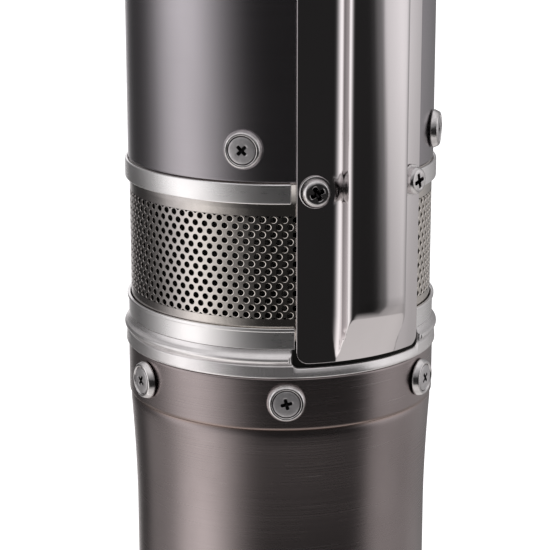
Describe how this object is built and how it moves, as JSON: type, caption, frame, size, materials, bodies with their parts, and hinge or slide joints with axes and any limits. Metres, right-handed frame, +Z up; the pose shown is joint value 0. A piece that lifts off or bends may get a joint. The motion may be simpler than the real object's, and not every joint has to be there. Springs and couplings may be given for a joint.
{
  "type": "borehole pump",
  "caption": "Slim upright stainless borehole pump with its motor below, a perforated intake strainer between two bands, a cable guard, screwed shells and a threaded outlet.",
  "frame": {"origin": "centre of the flat face under the motor's base, on the pump's axis", "axes": "+Z up along the pump's axis towards the outlet, -Y towards the cable guard"},
  "size_m": [0.1024, 0.1068, 0.58],
  "materials": {
    "satin_steel": "satin stainless tube",
    "polished_steel": "polished stainless sheet",
    "bright_steel": "bright stainless sheet",
    "cast_steel": "machined stainless casting",
    "screw_steel": "bright stainless screw",
    "gland_rubber": "moulded black rubber"
  },
  "bodies": {
    "root": {"base_screw_1": "screw_steel", "base_screw_2": "screw_steel", "base_screw_3": "screw_steel", "cable_gland": "gland_rubber", "cable_guard": "polished_steel", "discharge_head": "cast_steel", "guard_lower_screw_1": "screw_steel", "guard_lower_screw_2": "screw_steel", "guard_upper_screw_1": "screw_steel", "guard_upper_screw_2": "screw_steel", "head_screw_1": "screw_steel", "head_screw_2": "screw_steel", "head_screw_3": "screw_steel", "head_screw_4": "screw_steel", "intake_housing": "cast_steel", "lower_band": "bright_steel", "motor_base": "cast_steel", "motor_collar": "cast_steel", "motor_fill_plug": "screw_steel", "motor_shell": "satin_steel", "motor_shell_screw_1": "screw_steel", "motor_shell_screw_2": "screw_steel", "motor_shell_screw_3": "screw_steel", "motor_shell_screw_4": "screw_steel", "motor_shell_screw_5": "screw_steel", "motor_shell_screw_6": "screw_steel", "motor_shell_washer_1": "screw_steel", "motor_shell_washer_2": "screw_steel", "motor_shell_washer_3": "screw_steel", "motor_shell_washer_4": "screw_steel", "motor_shell_washer_5": "screw_steel", "motor_shell_washer_6": "screw_steel", "motor_stator": "cast_steel", "pump_shell": "satin_steel", "pump_shell_screw_1": "screw_steel", "pump_shell_screw_2": "screw_steel", "pump_shell_screw_3": "screw_steel", "pump_shell_screw_4": "screw_steel", "pump_shell_washer_1": "screw_steel", "pump_shell_washer_2": "screw_steel", "pump_shell_washer_3": "screw_steel", "pump_shell_washer_4": "screw_steel", "pump_stage_stack": "cast_steel", "strainer_screen": "bright_steel", "upper_band": "bright_steel"}
  },
  "joints": []
}
